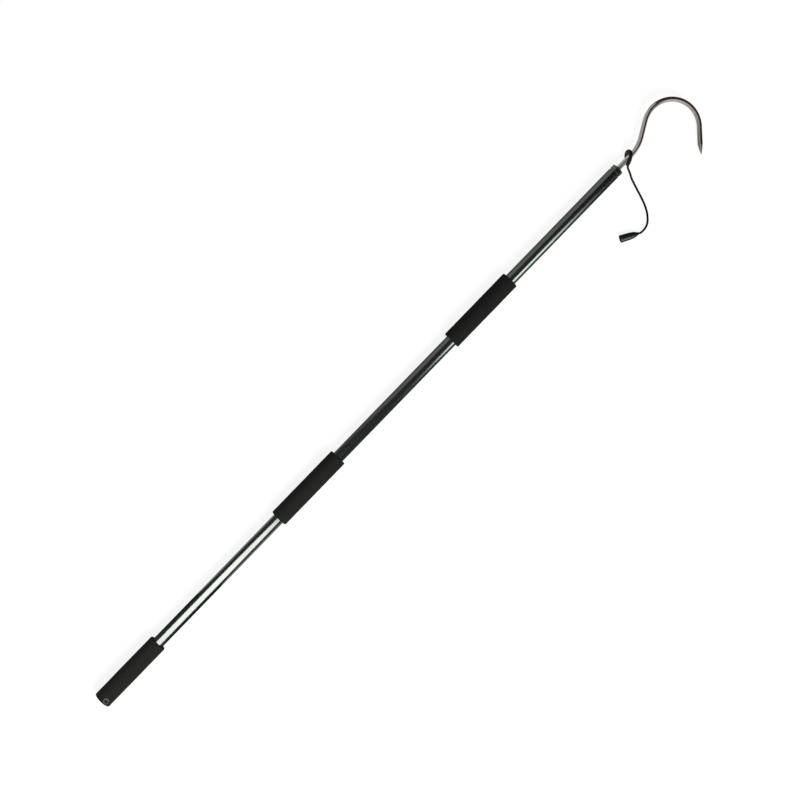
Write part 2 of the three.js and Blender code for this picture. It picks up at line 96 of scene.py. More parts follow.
COLLAR_LENGTH = 10.0 * MM
COLLAR_EDGE_RADIUS = 1.4 * MM
COLLAR_CROWN = 0.6 * MM
COLLAR_GROOVE_WIDTH = 1.4 * MM
COLLAR_GROOVE_DEPTH = 0.9 * MM
SHANK_ANCHOR = 54.0 * MM

WIRE_RADIUS = 4.0 * MM
SHANK_REACH = 27.0 * MM
OFFSET_BEND_RADIUS = 62.0 * MM
OFFSET_BEND = math.radians(31)
OFFSET_RUN = 24.5 * MM
CROWN_RADIUS = 43.7 * MM
CROWN_BEND = math.radians(162.5)
POINT_LEG = 26.7 * MM
POINT_GRIND = 16.0 * MM
POINT_GRIND_BLUR = (1.0 * MM, 0.5 * MM)
POINT_BROWN_REACH = (65 * MM, 15 * MM)
POINT_TIP_RADIUS = 0.35 * MM
POINT_TIP_SHIFT = 1.3 * MM
POINT_GRIND_POWER = 1.35
POINT_END_AREA_SHARE = 0.01

EYE_FROM_COLLAR = 22.0 * MM
EYE_BACK_REACH = 13.2 * MM
EYE_WIDEST_REACH = 6.0 * MM
EYE_TAIL_REACH = 11.2 * MM
EYE_HALF_WIDTH = 9.4 * MM
EYE_THICKNESS = 4.8 * MM
EYE_HOLE_RADIUS = 4.7 * MM
EYE_STUB_END = 12.8 * MM
EYE_STUB_RADIUS = 1.75 * MM
EYE_YAW = math.radians(42)
EYE_DIP = math.radians(8)
EYE_LEAN = math.radians(23)
EYE_FLANK_SHARES = (0.66, 0.06)
EYE_END_ROUND = 1.2 * MM
EYE_END_EASE = 1.5 * EYE_END_ROUND
EYE_ROUNDNESS = 2.7
EYE_TIP_SHARE = 0.3
# How far out from the hole's edge the eye's inner wall is painted lighter, as painted light
EYE_INNER_LIGHT_REACH = 2.8 * MM

CORD_RADIUS = 1.65 * MM
CORD_LEAD = 1.5 * MM
CORD_ROOT = 0.8 * MM

CAP_MOUTH_RADIUS = 6.0 * MM
CAP_BELLY_RADIUS = 5.8 * MM
CAP_BELLY_FROM_MOUTH = 10.5 * MM
CAP_SHOULDER_RADIUS = 4.5 * MM
CAP_SHOULDER_PLACE = 8.2 * MM
CAP_NECK_LEAVE = (2.2 * MM, 0.1 * MM)
CAP_NECK_ARRIVE = (2.7 * MM, 0.6 * MM)
CAP_BODY_LEAVE = (3.8 * MM, 0.8 * MM)
CAP_BODY_ARRIVE = (5 * MM, 0.1 * MM)
CAP_LENGTH = 31.5 * MM
CAP_LIP_RADIUS = 0.7 * MM
CAP_BORE_RADIUS = 4.5 * MM
CAP_BORE_END_RADIUS = 3.3 * MM
CAP_BORE_DEPTH = 17.0 * MM
CAP_NECK_BACK = 47.3 * MM
CAP_NECK_SIDE = 93.0 * MM
CAP_YAW = math.radians(28.5)

# How finely the pieces are divided: sides round each, steps along it, and a turned end's small hub
CURVE_STEPS = 40
TUBE_SIDES = 144
TUBE_STEP = 12 * MM
GRIP_SIDES = 168
GRIP_STEP = 1.1 * MM
PLUG_SIDES = 96
COLLAR_SIDES = 120
PLUG_STEP = 2 * MM
PLUG_HUB_RADIUS = 0.3 * MM
COLLAR_CROWN_STEPS = 10
RIVET_SIDES = 64
RIVET_DOME_STEPS = 16
RIVET_HUB_RADIUS = 0.2 * MM
WIRE_SIDES = 56
WIRE_STEPS = 1100
EYE_SIDES = 44
EYE_STEPS = 260
EYE_CURVE_STEPS = 200
EYE_FLANK_STEPS = 300
EYE_TIP_STEPS = 60
CORD_SIDES = 32
CORD_STEPS = 260
CAP_SIDES = 72
CAP_STEP = 0.6 * MM
CAP_CURVE_STEPS = 16

# Levels between which most of a noise lies
NOISE_LOW = 0.3
NOISE_HIGH = 0.7

# The cord's free stretch, from the collar's face: forward, to the left, and up from the pole's axis
CORD_ROUTE = [
    (0.0097, -0.0136, -0.0034),
    (0.0082, -0.0182, -0.0056),
    (0.0048, -0.0260, -0.0094),
    (0.0022, -0.0347, -0.0120),
    (-0.0006, -0.0434, -0.0126),
    (-0.0035, -0.0522, -0.0126),
    (-0.0065, -0.0608, -0.0126),
    (-0.0100, -0.0693, -0.0126),
    (-0.0143, -0.0774, -0.0126),
    (-0.0199, -0.0847, -0.0124),
    (-0.0268, -0.0909, -0.0117),
    (-0.0355, -0.0941, -0.0104),
]

# Camera: straight above, turned so that the pole runs up to the right
CAMERA_PLACE = (0.6504, -0.0071, 2.3)
CAMERA_TURN = math.radians(-45.865)
PICTURE_WIDTH = 1.2305
SENSOR_WIDTH = 36.0


def arc(centre, radius, start_degrees, end_degrees, steps):
    """Points of a circle's arc, in equal steps of angle."""
    angle = np.radians(np.linspace(start_degrees, end_degrees, steps))
    along = centre[0] + radius * np.sin(angle)
    out = centre[1] + radius * np.cos(angle)
    return np.stack([along, out], -1)


def bezier(start, leave, arrive, end, count):
    """Cubic Bezier curve: four points weighted by the terms of (1 - t + t) cubed."""
    t = np.linspace(0, 1, count)[:, None]
    terms = (1 - t) ** 3, 3 * (1 - t) ** 2 * t, 3 * (1 - t) * t ** 2, t ** 3
    return sum(term * np.array(point) for term, point in zip(terms, (start, leave, arrive, end)))


def ease(share):
    """0 to 1 with level ends: the cubic 3 t squared minus 2 t cubed, held outside its range."""
    share = np.clip(share, 0, 1)
    return share * share * (3 - 2 * share)


def profile(*parts):
    """Joins points (place along the axis, distance from it) and runs of them into one outline."""
    return np.vstack([np.atleast_2d(part) for part in parts])


def dense(outline, step):
    """The same outline with points added, so that none are further apart than the step."""
    runs = []
    for start, end in zip(outline[:-1], outline[1:]):
        count = max(1, int(np.ceil(np.hypot(*(end - start)) / step)))
        share = np.arange(count)[:, None] / count
        runs.append(start + (end - start) * share)
    return np.vstack([*runs, outline[-1:]])


def revolved(outline, sides):
    """Surface of revolution about X: each outline point keeps its place along X and goes round at
    its distance from the axis, in equal steps of angle."""
    along, out = outline.T
    turn = np.linspace(0, 2 * np.pi, sides, endpoint=False)
    x = np.repeat(along[:, None], sides, 1)
    return np.stack([x, out[:, None] * np.cos(turn), out[:, None] * np.sin(turn)], -1)


def frames_along(path):
    """Two directions across a path at each of its points: one level, at a right angle to the path,
    and one at a right angle to both."""
    ahead = np.gradient(path, axis=0)
    ahead /= np.linalg.norm(ahead, axis=1, keepdims=True)
    across = np.cross((0, 0, 1), ahead)
    across /= np.linalg.norm(across, axis=1, keepdims=True)
    return across, np.cross(ahead, across)


def carried(path, across, up, radius, sides):
    """Round tube: at each path point, a circle of that point's radius, on the two directions
    across the path."""
    turn = np.linspace(0, 2 * np.pi, sides, endpoint=False)[None, :, None]
    ring = across[:, None] * np.cos(turn) + up[:, None] * np.sin(turn)
    return path[:, None] + np.broadcast_to(radius, len(path))[:, None, None] * ring


def smooth_path(points, count):
    """Centripetal Catmull-Rom curve: each run is a cubic whose knots are spaced by the square root
    of the distance between points. Its points are then spaced evenly along its length."""
    points = np.asarray(points, float)
    ends = 2 * points[:1] - points[1:2], 2 * points[-1:] - points[-2:-1]
    points = np.vstack([ends[0], points, ends[1]])
    share = np.linspace(0, 1, CURVE_STEPS, endpoint=False)[:, None]
    runs = []
    for p0, p1, p2, p3 in zip(points[:-3], points[1:-2], points[2:-1], points[3:]):
        t1 = np.sqrt(np.linalg.norm(p1 - p0))
        t2 = t1 + np.sqrt(np.linalg.norm(p2 - p1))
        t3 = t2 + np.sqrt(np.linalg.norm(p3 - p2))
        t = t1 + (t2 - t1) * share
        a1 = (p0 * (t1 - t) + p1 * t) / t1
        a2 = (p1 * (t2 - t) + p2 * (t - t1)) / (t2 - t1)
        a3 = (p2 * (t3 - t) + p3 * (t - t2)) / (t3 - t2)
        b1 = (a1 * (t2 - t) + a2 * t) / t2
        b2 = (a2 * (t3 - t) + a3 * (t - t1)) / (t3 - t1)
        runs.append((b1 * (t2 - t) + b2 * (t - t1)) / (t2 - t1))
    fine = np.vstack([*runs, points[-2:-1]])
    reach = np.concatenate([[0], np.cumsum(np.linalg.norm(np.diff(fine, axis=0), axis=1))])
    even = np.linspace(0, reach[-1], count)
    return np.stack([np.interp(even, reach, fine[:, k]) for k in range(3)], -1)


def mesh_piece(name, grid, material, loop=False, straight=None, sharp_degrees=38):
    """Mesh of a grid of points. Each row closes on itself, and rows are joined by four-sided faces.
    With loop, the last row joins the first. Otherwise both ends are closed by fans of triangles to
    the middle of the end row. straight gives each point its place on the unbent piece."""
    rows, columns = grid.shape[:2]
    index = np.arange(rows * columns).reshape(rows, columns)
    beside = np.roll(index, -1, 1)
    following = np.roll(index, -1, 0)
    beyond = np.roll(beside, -1, 0)
    last = rows if loop else rows - 1
    quads = np.stack([index, beside, beyond, following], -1)[:last].reshape(-1, 4)
    points = grid.reshape(-1, 3)
    faces = quads.tolist()
    marks = None if straight is None else straight.reshape(-1, 3)
    if not loop:
        hubs = np.stack([grid[0].mean(0), grid[-1].mean(0)])
        points = np.vstack([points, hubs])
        first_hub = rows * columns
        start = np.stack([np.full(columns, first_hub), beside[0], index[0]], -1)
        end = np.stack([np.full(columns, first_hub + 1), index[-1], beside[-1]], -1)
        faces += start.tolist() + end.tolist()
        if marks is not None:
            marks = np.vstack([marks, straight[0].mean(0), straight[-1].mean(0)])
    mesh = bpy.data.meshes.new(name)
    mesh.from_pydata(points, [], faces)
    if marks is not None:
        layer = mesh.attributes.new("straight", "FLOAT_VECTOR", "POINT")
        layer.data.foreach_set("vector", marks.astype(np.float32).ravel())
    mesh.shade_smooth()
    mesh.set_sharp_from_angle(angle=math.radians(sharp_degrees))
    mesh.materials.append(material)
    made = bpy.data.objects.new(name, mesh)
    bpy.context.scene.collection.objects.link(made)
    return made


def fit(piece, body, slot, *nodes):
    """The piece rides on its body and stands for its CAD nodes. The slot is not used."""
    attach(piece, body)
    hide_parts(*nodes)


def turned_to(grid, axis, start):
    """Moves a grid made about X so that its X axis runs along another direction from a point."""
    axis = np.asarray(axis, float) / np.linalg.norm(axis)
    side = np.cross((0, 0, 1), axis)
    side /= np.linalg.norm(side)
    up = np.cross(axis, side)
    return np.asarray(start) + grid[..., :1] * axis + grid[..., 1:2] * side + grid[..., 2:] * up


def linear(colour):
    """An sRGB hex colour as the linear values that shaders take."""
    parts = np.array([int(colour[i:i + 2], 16) for i in (1, 3, 5)]) / 255
    values = np.where(parts <= 0.04045, parts / 12.92, ((parts + 0.055) / 1.055) ** 2.4)
    return (*values.tolist(), 1.0)


def add(tree, kind, inputs=(), **settings):
    """Adds a node, sets its settings, and gives its inputs, by name or place, their values or
    links."""
    made = tree.nodes.new(kind)
    for name, value in settings.items():
        setattr(made, name, value)
    for name, value in dict(inputs).items():
        if isinstance(value, bpy.types.NodeSocket):
            tree.links.new(value, made.inputs[name])
        else:
            made.inputs[name].default_value = value
    return made


def new_material(name):
    """A material and its empty node tree."""
    made = bpy.data.materials.new(name)
    made.use_nodes = True
    made.node_tree.nodes.clear()
    return made, made.node_tree


def anodised_aluminium():
    """Drawn aluminium tube with a dyed oxide skin. The dye makes it nearly black, the skin leaves
    a tight satin gloss, and the die's lines make the gloss uneven across the tube."""
    material, tree = new_material("anodised_aluminium")
    place = add(tree, "ShaderNodeTexCoord").outputs["Object"]
    # Die lines are some 0.1 mm wide; these are 0.5 mm, so that they show.
    lines_at = add(tree, "ShaderNodeMapping", {"Vector": place, "Scale": (6, 2000, 2000)})
    lines = add(tree, "ShaderNodeTexNoise", {
        "Vector": lines_at.outputs[0], "Scale": 1.0, "Detail": 3.0,
    })
    # Patches where the dye took more or less, some 30 mm long
    patches = add(tree, "ShaderNodeTexNoise", {"Vector": place, "Scale": 33.0, "Detail": 2.0})
    colour = add(tree, "ShaderNodeMix", {
        0: patches.outputs[0], 6: linear("#525252"), 7: linear("#5a5a5a"),
    }, data_type="RGBA")
    rough = add(tree, "ShaderNodeMapRange", {
        0: lines.outputs[0], 1: NOISE_LOW, 2: NOISE_HIGH, 3: 0.19, 4: 0.205,
    })
    shader = add(tree, "ShaderNodeBsdfPrincipled", {
        "Base Color": colour.outputs[2], "Metallic": 1.0, "Roughness": rough.outputs[0],
    })
    add(tree, "ShaderNodeOutputMaterial", {"Surface": shader.outputs[0]})
    return material


def nitrile_foam():
    """Black closed-cell foam sleeve, extruded and cut to length. It is matt, with fine pits where
    cells are open at the skin, and a slight dusty sheen."""
    material, tree = new_material("nitrile_foam")
    place = add(tree, "ShaderNodeTexCoord").outputs["Object"]
    # Open cells are 0.2 to 0.4 mm; these are 0.9 mm, so that they show.
    cells = add(tree, "ShaderNodeTexVoronoi", {"Vector": place, "Scale": 1100.0})
    # Ripples of the skin, some 2.4 mm long
    grain = add(tree, "ShaderNodeTexNoise", {"Vector": place, "Scale": 420.0, "Detail": 4.0})
    # Dusty patches, some 17 mm long
    clouds = add(tree, "ShaderNodeTexNoise", {"Vector": place, "Scale": 60.0, "Detail": 3.0})
    height = add(tree, "ShaderNodeMath", {
        0: cells.outputs[0], 1: grain.outputs[0],
    }, operation="ADD")
    colour = add(tree, "ShaderNodeMix", {
        0: clouds.outputs[0], 6: linear("#151514"), 7: linear("#1c1c1b"),
    }, data_type="RGBA")
    bump = add(tree, "ShaderNodeBump", {
        "Strength": 0.5, "Distance": 0.25 * MM, "Height": height.outputs[0],
    })
    shader = add(tree, "ShaderNodeBsdfPrincipled", {
        "Base Color": colour.outputs[2], "Roughness": 0.9, "IOR": 1.45, "Specular IOR Level": 0.12,
        "Sheen Weight": 0.02, "Sheen Roughness": 0.5, "Normal": bump.outputs[0],
    })
    add(tree, "ShaderNodeOutputMaterial", {"Surface": shader.outputs[0]})
    return material


def moulded_nylon(name, gloss):
    """Glass-filled nylon, moulded and dyed black-green. It has the smooth gloss of its mould, a
    little uneven from place to place, or a weaker one where it is scuffed."""
    material, tree = new_material(name)
    place = add(tree, "ShaderNodeTexCoord").outputs["Object"]
    # Flow marks of the moulding, some 1.4 mm long
    skin = add(tree, "ShaderNodeTexNoise", {"Vector": place, "Scale": 700.0, "Detail": 3.0})
    rough = add(tree, "ShaderNodeMapRange", {
        0: skin.outputs[0], 1: NOISE_LOW, 2: NOISE_HIGH, 3: 0.12, 4: 0.15,
    })
    colour = add(tree, "ShaderNodeMix", {
        0: skin.outputs[0], 6: linear("#08130d"), 7: linear("#0f1c15"),
    }, data_type="RGBA")
    shader = add(tree, "ShaderNodeBsdfPrincipled", {
        "Base Color": colour.outputs[2], "Roughness": rough.outputs[0], "IOR": 1.53,
        "Specular IOR Level": gloss,
    })
    add(tree, "ShaderNodeOutputMaterial", {"Surface": shader.outputs[0]})
    return material


def stainless_steel(name, bent=True):
    """Spring-hard stainless wire, drawn, bent cold and ground to a point. It is a warm grey metal,
    greyer at the collar and browner towards the point, with faint lines along the wire, and duller
    where it was ground."""
    material, tree = new_material(name)
    if bent:
        place = add(tree, "ShaderNodeAttribute", attribute_name="straight").outputs["Vector"]
    else:
        place = add(tree, "ShaderNodeTexCoord").outputs["Object"]
    # Drawing lines are some 0.05 mm wide; these are 0.8 mm, so that they show.
    lines_at = add(tree, "ShaderNodeMapping", {"Vector": place, "Scale": (20, 1200, 1200)})
    lines = add(tree, "ShaderNodeTexNoise", {
        "Vector": lines_at.outputs[0], "Scale": 1.0, "Detail": 2.0,
    })
    colour = add(tree, "ShaderNodeMix", {
        0: lines.outputs[0], 6: linear("#a39a98"), 7: linear("#aea4a2"),
    }, data_type="RGBA")
    rough = add(tree, "ShaderNodeMapRange", {
        0: lines.outputs[0], 1: NOISE_LOW, 2: NOISE_HIGH, 3: 0.13, 4: 0.17,
    })
    if bent:
        along = add(tree, "ShaderNodeSeparateXYZ", {0: place})
        greyer = add(tree, "ShaderNodeMapRange", {
            0: along.outputs[0], 1: SHANK_ANCHOR, 2: SHANK_ANCHOR + 2 * SHANK_REACH, 3: 1.0, 4: 0.0,
        })
        wire = add(tree, "ShaderNodeMix", {
            0: greyer.outputs[0], 6: colour.outputs[2], 7: linear("#9b9d98"),
        }, data_type="RGBA")
        browner = add(tree, "ShaderNodeMapRange", {
            0: along.outputs[0], 1: GROUND_FROM - POINT_BROWN_REACH[0],
            2: GROUND_FROM - POINT_BROWN_REACH[1], 3: 0.0, 4: 1.0,
        })
        handled = add(tree, "ShaderNodeMix", {
            0: browner.outputs[0], 6: wire.outputs[2], 7: linear("#877b79"),
        }, data_type="RGBA")
        # Grinding lines round the point are some 0.1 mm wide; these are 0.8 mm, so that they show.
        cuts_at = add(tree, "ShaderNodeMapping", {"Vector": place, "Scale": (1250, 120, 120)})
        cuts = add(tree, "ShaderNodeTexNoise", {
            "Vector": cuts_at.outputs[0], "Scale": 1.0, "Detail": 2.0,
        })
        ground = add(tree, "ShaderNodeMapRange", {
            0: along.outputs[0], 1: GROUND_FROM - POINT_GRIND_BLUR[0],
            2: GROUND_FROM + POINT_GRIND_BLUR[1], 3: 0.0, 4: 1.0,
        })
        cut = add(tree, "ShaderNodeMix", {
            0: cuts.outputs[0], 6: linear("#736b68"), 7: linear("#837a76"),
        }, data_type="RGBA")
        colour = add(tree, "ShaderNodeMix", {
            0: ground.outputs[0], 6: handled.outputs[2], 7: cut.outputs[2],
        }, data_type="RGBA")
        rough = add(tree, "ShaderNodeMix", {
            0: ground.outputs[0], 2: rough.outputs[0], 3: 0.38,
        }, data_type="FLOAT")
    shader = add(tree, "ShaderNodeBsdfPrincipled", {
        "Base Color": colour.outputs[2], "Metallic": 1.0, "Roughness": rough.outputs[0],
    })
    add(tree, "ShaderNodeOutputMaterial", {"Surface": shader.outputs[0]})
    return material


def rivet_alloy():
    """Aluminium blind rivet, pressed bright and dulled since. It is a mid-grey metal with a
    scuffed, uneven gloss."""
    material, tree = new_material("rivet_alloy")
    place = add(tree, "ShaderNodeTexCoord").outputs["Object"]
    # Scuffs are some 0.2 mm wide; these are 1.1 mm, so that they show.
    scuffs = add(tree, "ShaderNodeTexNoise", {"Vector": place, "Scale": 900.0, "Detail": 4.0})
    rough = add(tree, "ShaderNodeMapRange", {
        0: scuffs.outputs[0], 1: NOISE_LOW, 2: NOISE_HIGH, 3: 0.62, 4: 0.78,
    })
    colour = add(tree, "ShaderNodeMix", {
        0: scuffs.outputs[0], 6: linear("#3a3a39"), 7: linear("#474745"),
    }, data_type="RGBA")
    shader = add(tree, "ShaderNodeBsdfPrincipled", {
        "Base Color": colour.outputs[2], "Metallic": 1.0, "Roughness": rough.outputs[0],
    })
    add(tree, "ShaderNodeOutputMaterial", {"Surface": shader.outputs[0]})
    return material


def soft_vinyl(name, gloss):
    """Plasticised vinyl, moulded in one shot and black right through. It has a low gloss with a
    soft orange peel, lower still where it is scuffed. The wall inside the eye, round the wire, is
    painted a lighter brown: painted light on a wall that the ring and the wire shade."""
    material, tree = new_material(name)
    place = add(tree, "ShaderNodeTexCoord").outputs["Object"]
    # Orange peel, some 2.9 mm from dimple to dimple
    peel = add(tree, "ShaderNodeTexNoise", {"Vector": place, "Scale": 350.0, "Detail": 2.0})
    rough = add(tree, "ShaderNodeMapRange", {
        0: peel.outputs[0], 1: NOISE_LOW, 2: NOISE_HIGH, 3: 0.38, 4: 0.43,
    })
    black = add(tree, "ShaderNodeMix", {
        0: peel.outputs[0], 6: linear("#080808"), 7: linear("#0e0e0f"),
    }, data_type="RGBA")
    # Distance from the shank's axis, which is the X axis
    across = add(tree, "ShaderNodeMapping", {"Vector": place, "Scale": (0, 1, 1)})
    away = add(tree, "ShaderNodeVectorMath", {0: across.outputs[0]}, operation="LENGTH")
    # Painted light: the eye's inner wall round the wire is painted a lighter brown where the ring
    # and the wire shade it
    inner_wall_light = add(tree, "ShaderNodeMapRange", {
        0: away.outputs["Value"], 1: EYE_HOLE_RADIUS, 2: EYE_HOLE_RADIUS + EYE_INNER_LIGHT_REACH,
        3: 1.0, 4: 0.0,
    })
    # The lighter brown of the painted light on the eye's inner wall
    colour = add(tree, "ShaderNodeMix", {
        0: inner_wall_light.outputs[0], 6: black.outputs[2], 7: linear("#4e4138"),
    }, data_type="RGBA")
    bump = add(tree, "ShaderNodeBump", {
        "Strength": 0.06, "Distance": 0.06 * MM, "Height": peel.outputs[0],
    })
    shader = add(tree, "ShaderNodeBsdfPrincipled", {
        "Base Color": colour.outputs[2], "Roughness": rough.outputs[0], "IOR": 1.54,
        "Specular IOR Level": gloss, "Normal": bump.outputs[0],
    })
    add(tree, "ShaderNodeOutputMaterial", {"Surface": shader.outputs[0]})
    return material


# The camera comes first, then the cord.

camera_data = bpy.data.cameras.new("camera")
camera_data.sensor_width = SENSOR_WIDTH
camera_data.lens = SENSOR_WIDTH * CAMERA_PLACE[2] / PICTURE_WIDTH
camera = bpy.data.objects.new("camera", camera_data)
camera.location = CAMERA_PLACE
camera.rotation_euler = (0, 0, CAMERA_TURN)
bpy.context.scene.collection.objects.link(camera)
bpy.context.scene.camera = camera

# Places and directions of the guard

EYE_CENTRE = np.array([POLE_LENGTH + EYE_FROM_COLLAR, 0, 0])
down = np.array([0, 0, -1.0])
eye_level = np.array([-math.cos(EYE_YAW), -math.sin(EYE_YAW), 0])
eye_side = np.array([-math.sin(EYE_YAW), math.cos(EYE_YAW), 0])
eye_tail = eye_level * math.cos(EYE_DIP) + down * math.sin(EYE_DIP)
eye_under = down * math.cos(EYE_DIP) - eye_level * math.sin(EYE_DIP)
eye_across = eye_under * math.cos(EYE_LEAN) + eye_side * math.sin(EYE_LEAN)
eye_square = np.cross(eye_tail, eye_across)

cap_tilt = math.atan2(CAP_MOUTH_RADIUS - CAP_BELLY_RADIUS, CAP_BELLY_FROM_MOUTH)
cap_axis = np.array([
    -math.cos(CAP_YAW) * math.cos(cap_tilt),
    math.sin(CAP_YAW) * math.cos(cap_tilt),
    math.sin(cap_tilt),
])
cap_mouth_z = FLOOR_Z + CAP_MOUTH_RADIUS * math.cos(cap_tilt)
cap_neck = np.array([
    POLE_LENGTH - CAP_NECK_BACK,
    -CAP_NECK_SIDE,
    cap_mouth_z - CAP_LENGTH * math.sin(cap_tilt),
])

# Distance along the hook's wire at which its point is ground
GROUND_FROM = (
    SHANK_ANCHOR + COLLAR_LENGTH + SHANK_REACH + OFFSET_BEND_RADIUS * OFFSET_BEND + OFFSET_RUN
    + CROWN_RADIUS * CROWN_BEND + POINT_LEG
)

ANODISED = anodised_aluminium()
FOAM = nitrile_foam()
# The butt plug is dulled by being set down; the collar keeps its gloss.
NYLON = moulded_nylon("moulded_nylon", 1.0)
SCUFFED_NYLON = moulded_nylon("scuffed_nylon", 0.3)
STAINLESS = stainless_steel("stainless_wire")
PIN_STEEL = stainless_steel("stainless_pin", bent=False)
ALLOY = rivet_alloy()
# The eye and the cord are scuffed dull; the cap keeps its gloss.
VINYL = soft_vinyl("soft_vinyl", 0.3)
SCUFFED_VINYL = soft_vinyl("scuffed_vinyl", 0.08)


def guard_cord():
    """Round cord along the route, from inside the eye's stub to inside the cap's neck."""
    start = EYE_CENTRE + eye_tail * (EYE_STUB_END + SEAT_GAP)
    end = cap_neck - cap_axis * SEAT_GAP
    lead = start + eye_tail * CORD_LEAD
    lead_in = end - cap_axis * CORD_LEAD
    route = [np.array(place) + (POLE_LENGTH, 0, 0) for place in CORD_ROUTE]
    root = start - eye_tail * CORD_ROOT
    toe = end + cap_axis * CORD_ROOT
    path = smooth_path([root, start, lead, *route, lead_in, end, toe], CORD_STEPS)
    across, up = frames_along(path)
    grid = carried(path, across, up, CORD_RADIUS, CORD_SIDES)
    return mesh_piece("guard_string", grid, SCUFFED_VINYL), path


def eye_outline(count):
    """Outline of the guard's eye in its plane, evenly spaced: half an ellipse away from the tail,
    flanks that are Bezier curves, a blunt end that eases into the stub, and its round end."""
    angle = np.linspace(np.pi / 2, 3 * np.pi / 2, EYE_CURVE_STEPS)
    back = np.stack([
        (EYE_BACK_REACH - EYE_WIDEST_REACH) * np.cos(angle) - EYE_WIDEST_REACH,
        EYE_HALF_WIDTH * np.sin(angle),
    ], -1)
    length = EYE_TAIL_REACH + EYE_WIDEST_REACH
    neck = EYE_THICKNESS / 2
    curve = bezier(
        (-EYE_WIDEST_REACH, EYE_HALF_WIDTH),
        (length * EYE_FLANK_SHARES[0] - EYE_WIDEST_REACH, EYE_HALF_WIDTH),
        (EYE_TAIL_REACH - length * EYE_FLANK_SHARES[1], neck),
        (EYE_TAIL_REACH, neck),
        EYE_CURVE_STEPS,
    )
    u = np.linspace(-EYE_WIDEST_REACH, EYE_STUB_END, EYE_FLANK_STEPS)
    v = np.interp(u, *curve.T)
    v += (EYE_STUB_RADIUS - v) * ease((u - EYE_TAIL_REACH + EYE_END_ROUND) / EYE_END_EASE)
    v += (CORD_RADIUS - EYE_STUB_RADIUS) * ease((u - EYE_TAIL_REACH) / (u[-1] - EYE_TAIL_REACH))
    round_end = np.linspace(np.pi / 2, -np.pi / 2, EYE_TIP_STEPS)
    tip = np.stack([
        EYE_STUB_END + EYE_TIP_SHARE * CORD_RADIUS * np.cos(round_end),
        CORD_RADIUS * np.sin(round_end),
    ], -1)
    flank = np.stack([u, v], -1)
    whole = np.vstack([back, flank[1:] * (1, -1), tip[1:-1] * (1, -1), flank[:0:-1]])
    closed = np.vstack([whole, whole[:1]])
    reach = np.concatenate([[0], np.cumsum(np.linalg.norm(np.diff(closed, axis=0), axis=1))])
    even = np.linspace(0, reach[-1], count, endpoint=False)
    return np.stack([np.interp(even, reach, closed[:, k]) for k in range(2)], -1)


def guard_eye():
    """Moulded ring. In its own plane, each section runs from the hole's edge to the outline. The
    section is a superellipse as thick as the ring, thinner towards the tail. The hole is a round
    bore along X cut at a slant, so its edge in the plane is an ellipse that shifts with height."""
    outline = eye_outline(EYE_STEPS)
    slant = np.array([eye_tail[0], eye_across[0]])
    rise = eye_square[0]
    bearing = np.arctan2(outline[:, 1], outline[:, 0])
    towards = np.stack([np.cos(bearing), np.sin(bearing)], -1)
    # A point p of the plane is on the bore where its distance from the X axis is the hole's radius.
    stretch = 1 - (towards @ slant) ** 2
    inner = towards * (EYE_HOLE_RADIUS / np.sqrt(stretch))[:, None]
    turn = np.linspace(2 * np.pi, 0, EYE_SIDES, endpoint=False)
    power = 2 / EYE_ROUNDNESS
    wide = np.sign(np.cos(turn)) * np.abs(np.cos(turn)) ** power
    high = np.sign(np.sin(turn)) * np.abs(np.sin(turn)) ** power
    share = ((1 + wide) / 2)[None, :, None]
    flat = inner[:, None] * (1 - share) + outline[:, None] * share
    taper = ease((flat[..., 0] - EYE_TAIL_REACH + EYE_END_ROUND) / EYE_END_EASE)
    thick = EYE_THICKNESS + (2 * CORD_RADIUS - EYE_THICKNESS) * taper
    height = thick / 2 * high[None, :]
    shift = (slant / rise) * height[..., None]
    flat = (inner[:, None] + shift) * (1 - share) + outline[:, None] * share
    grid = (
        EYE_CENTRE + flat[..., :1] * eye_tail + flat[..., 1:] * eye_across
        + height[..., None] * eye_square
    )
    return mesh_piece("guard_ring", grid, SCUFFED_VINYL, loop=True, sharp_degrees=180)


def point_cap():
    """Turned outline of the cap: a neck as wide as the cord that swells into the body, both Bezier
    curves, a nearly even mouth end, a rounded lip and a tapered bore."""
    belly = CAP_LENGTH - CAP_BELLY_FROM_MOUTH
    neck = bezier(
        (0, CORD_RADIUS),
        (CAP_NECK_LEAVE[0], CORD_RADIUS + CAP_NECK_LEAVE[1]),
        (CAP_SHOULDER_PLACE - CAP_NECK_ARRIVE[0], CAP_SHOULDER_RADIUS - CAP_NECK_ARRIVE[1]),
        (CAP_SHOULDER_PLACE, CAP_SHOULDER_RADIUS),
        CAP_CURVE_STEPS,
    )
    body = bezier(
        (CAP_SHOULDER_PLACE, CAP_SHOULDER_RADIUS),
        (CAP_SHOULDER_PLACE + CAP_BODY_LEAVE[0], CAP_SHOULDER_RADIUS + CAP_BODY_LEAVE[1]),
        (belly - CAP_BODY_ARRIVE[0], CAP_BELLY_RADIUS - CAP_BODY_ARRIVE[1]),
        (belly, CAP_BELLY_RADIUS),
        CAP_CURVE_STEPS,
    )
    lip = CAP_LIP_RADIUS
    outside = arc((CAP_LENGTH - lip, CAP_MOUTH_RADIUS - lip), lip, 0, 90, steps=7)
    inside = arc((CAP_LENGTH - lip, CAP_BORE_RADIUS + lip), lip, 90, 180, steps=7)
    floor = CAP_LENGTH - CAP_BORE_DEPTH
    # The bore's round end stops just short of its axis.
    dome = arc((floor + CAP_BORE_END_RADIUS, 0), CAP_BORE_END_RADIUS, 0, -88, steps=10)
    outline = profile(neck, body[1:], outside, inside, dome)
    grid = turned_to(revolved(dense(outline, CAP_STEP), CAP_SIDES), cap_axis, cap_neck)
    return mesh_piece("point_cap", grid, VINYL, sharp_degrees=60)


string, string_path = guard_cord()
ring = guard_eye()
cap = point_cap()
fit(string, "point_guard", "guard_vinyl", "guard_cord")
fit(ring, "point_guard", "guard_vinyl", "guard_eye")
fit(cap, "point_guard", "guard_vinyl", "tip_cap")


